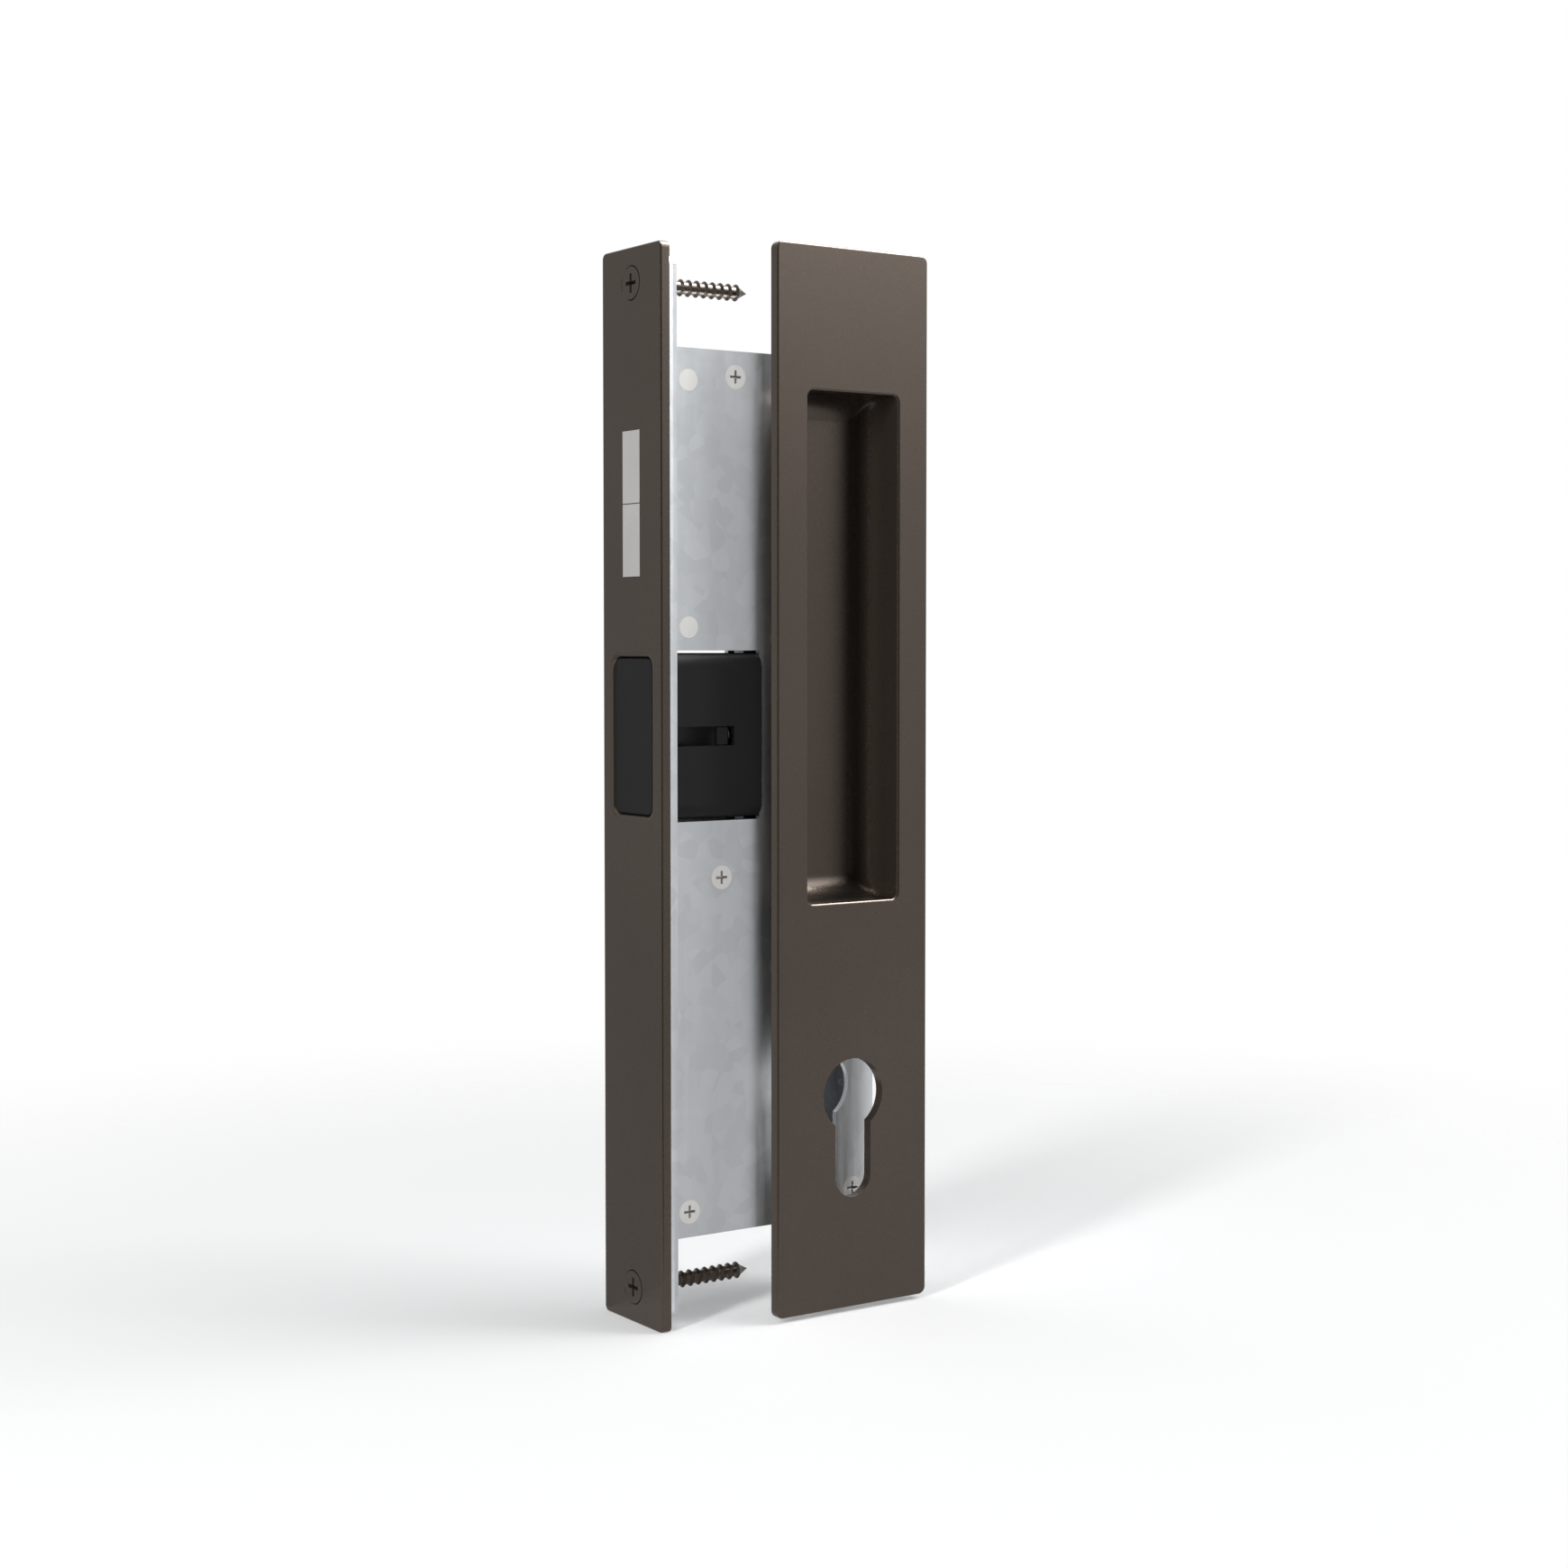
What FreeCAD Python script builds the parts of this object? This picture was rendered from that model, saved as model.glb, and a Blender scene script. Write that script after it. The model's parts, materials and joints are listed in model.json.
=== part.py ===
"""Flush pull lock set for a sliding door: mortise lock with twin claw bolts and a pop-out
edge pull, and one flush pull plate with a finger cup and a profile cylinder hole.

Frame: the origin is on the cylinder axis at mid-thickness of the door. +X runs from the
door's edge inward, +Y through the door away from the pull plate, +Z up.
"""
import FreeCAD, Part
import math
import os
import Sketcher

SIZES = {
    # face of the faceplate to the cylinder axis
    "backset": 48.0,
    # profile cylinder opening
    "key_radius": 8.6,
    "key_slot_radius": 5.1,
    "key_slot_centre": 19.4,
    # flush pull plate
    "pull_width": 43.5,
    "pull_height": 250.0,
    "pull_thickness": 2.5,
    "pull_corner": 1.8,
    "pull_centre": 74.2,
    "pull_edge_round": 0.5,
    "cup_width": 26.0,
    "cup_height": 119.6,
    "cup_depth": 12.0,
    "cup_centre": 105.7,
    "cup_corner": 1.6,
    "cup_wall": 1.3,
    "cup_case_gap": 0.7,
    "cup_floor_round": 5.8,
    "cup_lip_round": 0.6,
    "boss_radius": 4.0,
    "boss_length": 8.0,
    "boss_hole_radius": 1.65,
    "boss_hole_depth": 7.0,
    "boss_inset": 9.0,
    # faceplate and the forend strip behind it
    "face_width": 26.0,
    "face_height": 250.0,
    "face_thickness": 2.5,
    "face_corner": 1.5,
    "face_below_axis": 52.0,
    "face_edge_round": 0.5,
    "face_screw_inset": 8.25,
    "forend_side_inset": 1.0,
    "forend_end_inset": 3.0,
    "forend_thickness": 2.5,
    "forend_corner": 2.0,
    # claw slot
    "slot_height": 34.0,
    "slot_below_top": 58.9,
    "slot_corner": 0.5,
    "slot_side_room": 0.55,
    "slot_end_room": 2.0,
    "slot_swing_room": 5.0,
    # edge pull opening
    "grip_width": 16.8,
    "grip_height": 36.3,
    "grip_corner": 2.4,
    "grip_gap": 0.15,
    "grip_claw_gap": 2.1,
    "grip_recess": 0.5,
    "grip_depth": 20.0,
    "grip_front": 2.6,
    "grip_arm": 3.0,
    "grip_back": 3.4,
    "grip_window_corner": 2.5,
    "grip_front_round": 0.5,
    "grip_travel": 15.0,
    "grip_push": 1.5,
    "grip_rim_round": 1.2,
    "lug_height": 4.0,
    "lug_reach": 0.85,
    "lug_gap": 0.25,
    "lug_stop_gap": 0.1,
    "box_wall": 1.0,
    "box_back_wall": 1.2,
    "box_depth": 27.5,
    "box_room": 0.6,
    "spring_radius": 4.0,
    "spring_wire": 0.45,
    "spring_turns": 6.5,
    "spring_pocket": 2.2,
    "spring_peg": 3.0,
    "spring_gap": 0.3,
    "spring_end_gap": 0.02,
    # lock case of folded sheet
    "case_thickness": 15.0,
    "case_sheet": 1.5,
    "case_rear_room": 6.0,
    "case_claw_room": 3.5,
    "post_screw_gap": 1.1,
    "case_corner": 1.5,
    "post_inset": 6.0,
    "upper_post_inset": 19.0,
    "middle_post_inset": 15.0,
    "middle_post_drop": 33.3,
    "rivet_below_axis": 10.0,
    "rivet_below_grip": 30.3,
    "rivet_below_slot": 27.6,
    "rivet_below_top": 5.5,
    # twin claws
    "claw_side_gap": 0.15,
    "claw_case_gap": 0.6,
    "claw_pivot_height": 28.5,
    "claw_seam_gap": 0.1,
    "claw_end_gap": 0.15,
    "claw_hub_radius": 3.9,
    "claw_pivot_radius": 2.5,
    "claw_pivot_gap": 0.05,
    "claw_arm_angle": 100.0,
    "claw_back_angle": 112.0,
    "claw_pin_arm": 11.0,
    "claw_pin_angle": 135.0,
    "claw_hub_sweep": 280.0,
    "claw_shoulder": 8.0,
    "claw_shoulder_angle": 20.0,
    "claw_shoulder_drop": 3.0,
    "claw_turn": 40.0,
    # drive bar, claw slide and their guides
    "pin_radius": 2.0,
    "pin_gap": 0.1,
    "collar_radius": 3.5,
    "claw_collar_radius": 3.4,
    "bar_travel": 10.0,
    "bar_thickness": 4.0,
    "bar_box_gap": 1.0,
    "bar_width": 9.0,
    "bar_foot_low": -14.0,
    "bar_foot_high": 6.0,
    "bar_foot_left": -22.0,
    "bar_foot_right": -17.2,
    "bar_foot_rise": 8.0,
    "bar_foot_taper": 13.0,
    "bar_guide_low": 30.0,
    "bar_guide_below_slot": 31.1,
    "head_margin": 5.3,
    "head_corner": 2.0,
    "layer_gap": 0.1,
    "drive_slot_wall": 2.4,
    "block_height": 18.0,
    "block_thickness": 4.3,
    "block_rivet_inset": 4.0,
    "slide_travel": 6.5,
    "slide_thickness": 1.9,
    "slide_front_gap": 3.4,
    "slide_mouth_depth": 10.6,
    "slide_rim": 1.5,
    "slide_web": 3.1,
    "slide_guide_room": 3.0,
    "slide_guide_half": 15.0,
    "slide_pin_inset": 4.0,
    "cam_slot_radius": 2.3,
    "cam_slot_shift": 0.08,
    "tooth_tip": -11.5,
    "tooth_root": -17.0,
    "tooth_pitch": 11.0,
    "tooth_thickness": 3.5,
    # screws, rivets and posts
    "face_screw_radius": 2.0,
    "face_screw_head": 3.8,
    "face_screw_length": 32.0,
    "face_screw_rim": 0.35,
    "thread_start": 9.0,
    "thread_pitch": 2.2,
    "thread_depth": 0.55,
    "cover_screw_radius": 1.5,
    "cover_screw_head": 2.8,
    "cover_screw_length": 7.6,
    "cover_screw_taper": 0.6,
    "post_bore_depth": 8.0,
    "post_radius": 3.0,
    "rivet_radius": 1.5,
    "rivet_head": 2.6,
    "cylinder_screw_radius": 2.5,
    "cylinder_screw_head": 4.7,
    "cylinder_screw_taper": 0.8,
    "cylinder_screw_tip": -6.0,
}

doc = FreeCAD.newDocument("FlushPullLockSet")
sheet = doc.addObject("Spreadsheet::Sheet", "Sizes")
for row, (alias, amount) in enumerate(SIZES.items(), start=1):
    sheet.set(f"A{row}", alias)
    sheet.set(f"B{row}", str(amount))
    sheet.setAlias(f"B{row}", alias)
doc.recompute()


class Size:
    """A dimension: its number, and the sheet formula that features are bound to."""

    def __init__(self, text, value):
        self.text = text
        self.value = value

    def join(self, other, sign, result, swap=False):
        left, right = (size(other), self) if swap else (self, size(other))
        return Size(f"({left.text} {sign} {right.text})", result(left.value, right.value))

    def __add__(self, other):
        return self.join(other, "+", lambda a, b: a + b)

    def __radd__(self, other):
        return self.join(other, "+", lambda a, b: a + b, swap=True)

    def __sub__(self, other):
        return self.join(other, "-", lambda a, b: a - b)

    def __rsub__(self, other):
        return self.join(other, "-", lambda a, b: a - b, swap=True)

    def __mul__(self, other):
        return self.join(other, "*", lambda a, b: a * b)

    def __rmul__(self, other):
        return self.join(other, "*", lambda a, b: a * b, swap=True)

    def __truediv__(self, other):
        return self.join(other, "/", lambda a, b: a / b)

    def __neg__(self):
        return Size(f"(0 - {self.text})", -self.value)


def size(item):
    if isinstance(item, Size):
        return item
    return Size(f"({float(item):.6f})", float(item))


def cos(angle):
    angle = size(angle)
    return Size(f"cos({angle.text})", math.cos(math.radians(angle.value)))


def sin(angle):
    angle = size(angle)
    return Size(f"sin({angle.text})", math.sin(math.radians(angle.value)))


class Sheet:
    """The sheet's cells as sizes, by name."""

    def __getattr__(self, name):
        return Size(f"Sizes.{name}", SIZES[name])


D = Sheet()

# How far a cut runs past the face that it starts from
OVERRUN = 0.5
# Cross recesses: half the slots' width as a share of their reach, and the draft in degrees
CROSS_SHARE = 0.2
CROSS_DRAFT = -12

# Levels along X
FACE_X = -D.backset
FOREND_X = FACE_X + D.face_thickness
CASE_X = FOREND_X + D.forend_thickness
GRIP_X = FACE_X + D.grip_recess
BOX_BACK_X = FOREND_X + D.box_depth
LUG_X = FOREND_X + D.grip_travel + D.lug_stop_gap
PIVOT_X = CASE_X + D.case_sheet + D.claw_hub_radius + D.claw_case_gap
BAR_LEFT = BOX_BACK_X + D.bar_box_gap
BAR_RIGHT = BAR_LEFT + D.bar_width
BAR_X = (BAR_LEFT + BAR_RIGHT) / 2
DRIVE_SLOT = D.pin_radius + D.pin_gap
SLIDE_PIN_X = BAR_RIGHT - D.slide_pin_inset
HEAD_LEFT = SLIDE_PIN_X - D.slide_travel - DRIVE_SLOT - D.drive_slot_wall
HEAD_RIGHT = SLIDE_PIN_X + DRIVE_SLOT + D.drive_slot_wall
SLIDE_GUIDE_X = HEAD_RIGHT + D.collar_radius + D.slide_guide_room
SLIDE_FRONT = PIVOT_X + D.slide_front_gap
SLIDE_REAR = SLIDE_GUIDE_X + D.slide_travel + DRIVE_SLOT + D.drive_slot_wall
CASE_BACK = SLIDE_REAR + D.case_rear_room
# Levels along Y
CASE_Y = D.case_thickness / 2
DOOR_Y = D.pull_thickness - D.cup_depth - D.cup_wall - D.cup_case_gap - CASE_Y
INNER_Y = CASE_Y - D.case_sheet
SLIDE_Y = INNER_Y - D.layer_gap
BAR_Y = SLIDE_Y - D.slide_thickness - 2 * D.layer_gap
BAR_FRONT_Y = BAR_Y - D.bar_thickness
CLAW_Y = BAR_Y
SLOT_HALF = CLAW_Y + D.claw_side_gap
# Levels along Z
FACE_LOW = -D.face_below_axis
FACE_HIGH = FACE_LOW + D.face_height
SLOT_Z = FACE_HIGH - D.slot_below_top
CLAW_REACH = D.claw_pivot_height + D.claw_hub_radius
BOX_HALF_TALL = D.grip_height / 2 + D.grip_gap + D.box_wall
GRIP_Z = SLOT_Z - CLAW_REACH - D.grip_claw_gap - BOX_HALF_TALL
CYLINDER_SCREW_Z = -D.key_slot_centre
CASE_LOW = (CYLINDER_SCREW_Z - D.cylinder_screw_radius - D.post_screw_gap
            - D.post_radius - D.post_inset)
CASE_HIGH = SLOT_Z + CLAW_REACH + D.case_claw_room
FACE_SCREWS = [FACE_LOW + D.face_screw_inset, FACE_HIGH - D.face_screw_inset]
# The box behind the edge pull, and the case's cut-out around it
BOX_HALF_WIDE = D.grip_width / 2 + D.grip_gap + D.box_wall
BOX_CORNER = D.grip_corner + D.grip_gap + D.box_wall
NOTCH_X = BOX_BACK_X + D.box_room
NOTCH_HALF = BOX_HALF_TALL + D.box_room
# Foot of the drive bar, where the cam block is riveted on
FOOT_X = (D.bar_foot_left + D.bar_foot_right) / 2
BLOCK_HIGH = D.bar_foot_low + D.block_height
BLOCK_RIVETS = [D.bar_foot_low + D.block_rivet_inset, BLOCK_HIGH - D.block_rivet_inset]

BACK_POST_X = CASE_BACK - D.post_inset
POSTS = [
    (CASE_X + D.post_inset, CASE_LOW + D.post_inset),
    (BACK_POST_X, CASE_LOW + D.post_inset),
    (BACK_POST_X, CASE_HIGH - D.post_inset),
    (CASE_X + D.upper_post_inset, CASE_HIGH - D.post_inset),
    (CASE_X + D.middle_post_inset, GRIP_Z - D.middle_post_drop),
]
BAR_GUIDES = [("low", D.bar_guide_low), ("high", SLOT_Z - D.bar_guide_below_slot)]
RIVET_LEVELS = [-D.rivet_below_axis, GRIP_Z - D.rivet_below_grip,
                SLOT_Z - D.rivet_below_slot, CASE_HIGH - D.rivet_below_top]
SIDES = [("upper", 1), ("lower", -1)]


def bind(thing, prop, item):
    thing.setExpression(prop, size(item).text)


def vertex(sketch, geo, end, x, y):
    """Holds one end of a sketch edge at (x, y); a coordinate of None stays free."""
    for kind, item in (("DistanceX", x), ("DistanceY", y)):
        if item is not None:
            index = sketch.addConstraint(Sketcher.Constraint(kind, -1, 1, geo, end, size(item).value))
            bind(sketch, f"Constraints[{index}]", item)


def outline(sketch, *items):
    """Closed loop through corners (x, y) and arcs (x, y, radius, first angle, last angle).

    Straight edges join the items in turn. An arc whose last angle is the smaller one
    runs clockwise.
    """
    ends = []
    for item in items:
        if len(item) == 2:
            ends.append((None, item, item))
            continue
        x, y, radius, first, last = [size(part) for part in item]
        centre = FreeCAD.Vector(x.value, y.value, 0)
        circle = Part.Circle(centre, FreeCAD.Vector(0, 0, 1), radius.value)
        forward = last.value > first.value
        low, high = sorted((math.radians(first.value), math.radians(last.value)))
        geo = sketch.addGeometry(Part.ArcOfCircle(circle, low, high), False)
        vertex(sketch, geo, 3, x, y)
        index = sketch.addConstraint(Sketcher.Constraint("Radius", geo, radius.value))
        bind(sketch, f"Constraints[{index}]", radius)
        points = []
        for end, angle in ((1, first), (2, last)) if forward else ((2, first), (1, last)):
            point = (x + radius * cos(angle), y + radius * sin(angle))
            flat = abs(math.cos(math.radians(angle.value))) > 0.7072
            vertex(sketch, geo, end, None if flat else point[0], point[1] if flat else None)
            points.append(point)
        ends.append(((geo, 1, 2) if forward else (geo, 2, 1), points[0], points[1]))
    for (arc, _, leave), (next_arc, arrive, _) in zip(ends, ends[1:] + ends[:1]):
        start = FreeCAD.Vector(size(leave[0]).value, size(leave[1]).value, 0)
        stop = FreeCAD.Vector(size(arrive[0]).value, size(arrive[1]).value, 0)
        if arc and next_arc and start.distanceToPoint(stop) < 1e-7:
            sketch.addConstraint(Sketcher.Constraint("Coincident", arc[0], arc[2], next_arc[0], next_arc[1]))
            continue
        line = sketch.addGeometry(Part.LineSegment(start, stop), False)
        for end, joined, at in ((1, arc and (arc[0], arc[2]), leave),
                                (2, next_arc and (next_arc[0], next_arc[1]), arrive)):
            if joined:
                sketch.addConstraint(Sketcher.Constraint("Coincident", joined[0], joined[1], line, end))
            else:
                vertex(sketch, line, end, at[0], at[1])


def rectangle(sketch, left, right, low, high, corner=None):
    if corner is None:
        outline(sketch, (left, low), (right, low), (right, high), (left, high))
        return
    outline(sketch,
            (right - corner, low + corner, corner, -90, 0),
            (right - corner, high - corner, corner, 0, 90),
            (left + corner, high - corner, corner, 90, 180),
            (left + corner, low + corner, corner, 180, 270))


def disc(sketch, x, y, radius):
    at = FreeCAD.Vector(size(x).value, size(y).value, 0)
    circle = Part.Circle(at, FreeCAD.Vector(0, 0, 1), size(radius).value)
    geo = sketch.addGeometry(circle, False)
    vertex(sketch, geo, 3, x, y)
    index = sketch.addConstraint(Sketcher.Constraint("Radius", geo, size(radius).value))
    bind(sketch, f"Constraints[{index}]", radius)


def slot(sketch, start, stop, radius, tilt):
    """Round-ended slot from start to stop; tilt is the direction of its run in degrees."""
    outline(sketch,
            (stop[0], stop[1], radius, tilt - 90, tilt + 90),
            (start[0], start[1], radius, tilt + 90, tilt + 270))


def new_body(label, x=0, y=0, z=0):
    body = doc.addObject("PartDesign::Body", label)
    body.Label = label
    for axis, item in zip("xyz", (x, y, z)):
        bind(body, f"Placement.Base.{axis}", item)
    return body


def new_sketch(body, plane, draw, lift=0):
    sketch = body.newObject("Sketcher::SketchObject", f"{body.Label}_sketch")
    origin_plane = next(part for part in body.Origin.OriginFeatures if part.Role == plane)
    sketch.AttachmentSupport = [(origin_plane, "")]
    sketch.MapMode = "FlatFace"
    bind(sketch, "AttachmentOffset.Base.z", lift)
    draw(sketch)
    doc.recompute()
    return sketch


def feature(body, kind, plane, draw, length=None, lift=0, back=False):
    """Pad or pocket of a drawn profile; no length cuts through everything."""
    sketch = new_sketch(body, plane, draw, lift)
    before = body.Shape.Volume if body.Tip else 0.0
    made = body.newObject(f"PartDesign::{kind}", f"{body.Label}_{kind.lower()}")
    made.Profile = sketch
    made.Reversed = back
    if length is None:
        made.Type = "ThroughAll"
    else:
        bind(made, "Length", length)
    doc.recompute()
    if abs(body.Shape.Volume - before) < 1e-6:
        raise RuntimeError(f"{made.Name} changed nothing")
    return made


def pad(body, plane, draw, length, lift=0, back=False):
    return feature(body, "Pad", plane, draw, length, lift, back)


def pocket(body, plane, draw, length=None, lift=0, back=True):
    return feature(body, "Pocket", plane, draw, length, lift, back)


def edges_where(shape, test):
    return [f"Edge{index}" for index, edge in enumerate(shape.Edges, start=1) if test(edge)]


def ease(body, kind, amount, test):
    """Fillet or chamfer on the edges that pass the test."""
    tip = body.Tip
    names = edges_where(tip.Shape, test)
    if not names:
        raise RuntimeError(f"{body.Label}: no edge to ease")
    made = body.newObject(f"PartDesign::{kind}", f"{body.Label}_{kind.lower()}")
    made.Base = (tip, names)
    bind(made, "Radius" if kind == "Fillet" else "Size", amount)
    doc.recompute()
    return made


def lies_at(axis, level, inside=None):
    """Test for edges that lie in the plane axis = level, within an optional box."""
    place = size(level).value

    def test(edge):
        box = edge.BoundBox
        low, high = getattr(box, f"{axis}Min"), getattr(box, f"{axis}Max")
        if abs(low - place) > 1e-4 or abs(high - place) > 1e-4:
            return False
        return inside is None or inside(edge.CenterOfMass)

    return test


def within(axis, half, low, high):
    """Test for points between -half and half across, and between low and high in Z."""
    return lambda point: abs(getattr(point, axis)) < half.value and low.value < point.z < high.value


def level_with(levels):
    """Test for points on the strip's middle line at one of the levels."""
    return lambda point: abs(point.y) < 1 and min(abs(point.z - level.value) for level in levels) < 1


def turned(label, base, along, points):
    """Piece of revolution from (radius, distance) points, its axis along X or Y."""
    body = new_body(label, *base)
    turn = {"X": (FreeCAD.Vector(0, 1, 0), 90), "Y": (FreeCAD.Vector(1, 0, 0), -90)}[along]
    body.Placement.Rotation = FreeCAD.Rotation(*turn)
    sketch = new_sketch(body, "XZ_Plane", lambda made: outline(made, *points))
    made = body.newObject("PartDesign::Revolution", f"{label}_revolution")
    made.Profile = sketch
    made.ReferenceAxis = (sketch, ["V_Axis"])
    made.Angle = 360
    doc.recompute()
    return body


def tube(label, base, along, inner, outer, length):
    points = [(inner, 0), (outer, 0), (outer, length), (inner, length)]
    return turned(label, base, along, points)


def cross_recess(body, reach, depth):
    """Cross recess in a screw head whose face is at the body's own z = 0."""
    half = reach * CROSS_SHARE

    def draw(sketch):
        outline(sketch,
                (half, half), (half, reach), (-half, reach), (-half, half),
                (-reach, half), (-reach, -half), (-half, -half), (-half, -reach),
                (half, -reach), (half, -half), (reach, -half), (reach, half))

    cut = pocket(body, "XY_Plane", draw, depth)
    cut.TaperAngle = CROSS_DRAFT
    doc.recompute()


def key_opening(body):
    """Profile cylinder opening: a round hole over a round-ended slot, all through."""
    half = D.key_slot_radius
    pocket(body, "XZ_Plane", lambda sketch: disc(sketch, 0, 0, D.key_radius))
    pocket(body, "XZ_Plane", lambda sketch: outline(
        sketch, (half, 0), (-half, 0), (0, -D.key_slot_centre, half, 180, 360)))


def cup_cavity(half, low, high):
    """The hollow of the finger cup, as a block with rounded floor edges."""
    body = new_body("cup_cavity")
    floor = D.cup_depth - D.pull_thickness
    pad(body, "XZ_Plane",
        lambda sketch: rectangle(sketch, -half, half, low, high, D.cup_corner),
        D.cup_depth + OVERRUN, lift=D.pull_thickness + OVERRUN, back=True)
    ease(body, "Fillet", D.cup_floor_round, lies_at("Y", floor))
    return body


def pull_plate():
    body = new_body("pull_plate", y=DOOR_Y)
    half = D.pull_width / 2
    low = D.pull_centre - D.pull_height / 2
    high = D.pull_centre + D.pull_height / 2
    cup_half = D.cup_width / 2
    cup_low = D.cup_centre - D.cup_height / 2
    cup_high = D.cup_centre + D.cup_height / 2
    wall = D.cup_wall
    shell = D.cup_depth + wall - D.pull_thickness
    pad(body, "XZ_Plane",
        lambda sketch: rectangle(sketch, -half, half, low, high, D.pull_corner), D.pull_thickness)
    pad(body, "XZ_Plane",
        lambda sketch: rectangle(sketch, -cup_half - wall, cup_half + wall,
                                 cup_low - wall, cup_high + wall, D.cup_corner + wall),
        shell, back=True)
    ease(body, "Fillet", D.cup_floor_round + wall, lies_at("Y", shell))
    for level in (low + D.boss_inset, high - D.boss_inset):
        pad(body, "XZ_Plane", lambda sketch, z=level: disc(sketch, 0, z, D.boss_radius),
            D.boss_length, back=True)
        pocket(body, "XZ_Plane", lambda sketch, z=level: disc(sketch, 0, z, D.boss_hole_radius),
               D.boss_hole_depth, lift=-D.boss_length)
    key_opening(body)
    hollow = body.newObject("PartDesign::Boolean", "cup_hollow")
    hollow.Type = "Cut"
    hollow.setObjects([cup_cavity(cup_half, cup_low, cup_high)])
    doc.recompute()
    front = -D.pull_thickness
    inner = within("x", half - D.pull_corner, low + D.pull_corner, high - D.pull_corner)
    around_cup = within("x", cup_half + wall, cup_low - wall, cup_high + wall)
    ease(body, "Fillet", D.pull_edge_round, lies_at("Y", front, lambda point: not inner(point)))
    ease(body, "Fillet", D.cup_lip_round, lies_at("Y", front, around_cup))


def face_strip(label, x, half, low, high, thickness, corner):
    body = new_body(label, x=x)
    pad(body, "YZ_Plane", lambda sketch: rectangle(sketch, -half, half, low, high, corner), thickness)
    return body


def faceplate():
    body = face_strip("faceplate", FACE_X, D.face_width / 2, FACE_LOW, FACE_HIGH,
                      D.face_thickness, D.face_corner)
    slot_tall = D.slot_height / 2
    grip_half = D.grip_width / 2 + D.grip_gap
    grip_tall = D.grip_height / 2 + D.grip_gap
    ease(body, "Fillet", D.face_edge_round, lies_at("X", 0))
    pocket(body, "YZ_Plane", lambda sketch: rectangle(
        sketch, -SLOT_HALF, SLOT_HALF, SLOT_Z - slot_tall, SLOT_Z + slot_tall, D.slot_corner))
    pocket(body, "YZ_Plane", lambda sketch: rectangle(
        sketch, -grip_half, grip_half, GRIP_Z - grip_tall, GRIP_Z + grip_tall,
        D.grip_corner + D.grip_gap))
    ease(body, "Fillet", D.grip_rim_round, lies_at("X", 0, within(
        "y", BOX_HALF_WIDE, GRIP_Z - BOX_HALF_TALL, GRIP_Z + BOX_HALF_TALL)))
    for level in FACE_SCREWS:
        pocket(body, "YZ_Plane", lambda sketch, z=level: disc(sketch, 0, z, D.face_screw_radius))
    ease(body, "Chamfer", D.face_screw_head - D.face_screw_radius + D.face_screw_rim,
         lies_at("X", 0, level_with(FACE_SCREWS)))


def forend():
    body = face_strip("forend", FOREND_X, D.face_width / 2 - D.forend_side_inset,
                      FACE_LOW + D.forend_end_inset, FACE_HIGH - D.forend_end_inset,
                      D.forend_thickness, D.forend_corner)
    slot_half = SLOT_HALF + D.slot_side_room
    slot_tall = D.slot_height / 2 + D.slot_end_room
    pocket(body, "YZ_Plane", lambda sketch: rectangle(
        sketch, -slot_half, slot_half, SLOT_Z - slot_tall, SLOT_Z + slot_tall, D.forend_corner))
    pocket(body, "YZ_Plane", lambda sketch: rectangle(
        sketch, -BOX_HALF_WIDE, BOX_HALF_WIDE, GRIP_Z - BOX_HALF_TALL, GRIP_Z + BOX_HALF_TALL, BOX_CORNER))
    for level in FACE_SCREWS:
        pocket(body, "YZ_Plane", lambda sketch, z=level: disc(sketch, 0, z, D.face_screw_radius))
    pocket(body, "YZ_Plane", lambda sketch: disc(sketch, 0, CYLINDER_SCREW_Z, D.cylinder_screw_radius))
    ease(body, "Chamfer", D.cylinder_screw_head - D.cylinder_screw_radius,
         lies_at("X", 0, level_with([CYLINDER_SCREW_Z])))
    for level in RIVET_LEVELS:
        pocket(body, "YZ_Plane", lambda sketch, z=level: disc(sketch, 0, z, D.rivet_radius))
    ease(body, "Chamfer", D.rivet_head - D.rivet_radius, lies_at("X", 0, level_with(RIVET_LEVELS)))


def pin_holes(body):
    """Holes in a case sheet for the claw pivots and for the guides of the bar and slide."""
    for _, side in SIDES:
        level = SLOT_Z + side * D.claw_pivot_height
        pocket(body, "XZ_Plane", lambda sketch, z=level: disc(sketch, PIVOT_X, z, D.claw_pivot_radius))
        level = SLOT_Z + side * D.slide_guide_half
        pocket(body, "XZ_Plane", lambda sketch, z=level: disc(sketch, SLIDE_GUIDE_X, z, D.pin_radius))
    for _, level in BAR_GUIDES:
        pocket(body, "XZ_Plane", lambda sketch, z=level: disc(sketch, BAR_X, z, D.pin_radius))


def box_notch(body):
    """Cut-out of a case sheet around the edge pull box, open to the door's edge."""
    pocket(body, "XZ_Plane", lambda sketch: rectangle(
        sketch, CASE_X - OVERRUN, NOTCH_X, GRIP_Z - NOTCH_HALF, GRIP_Z + NOTCH_HALF))


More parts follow.
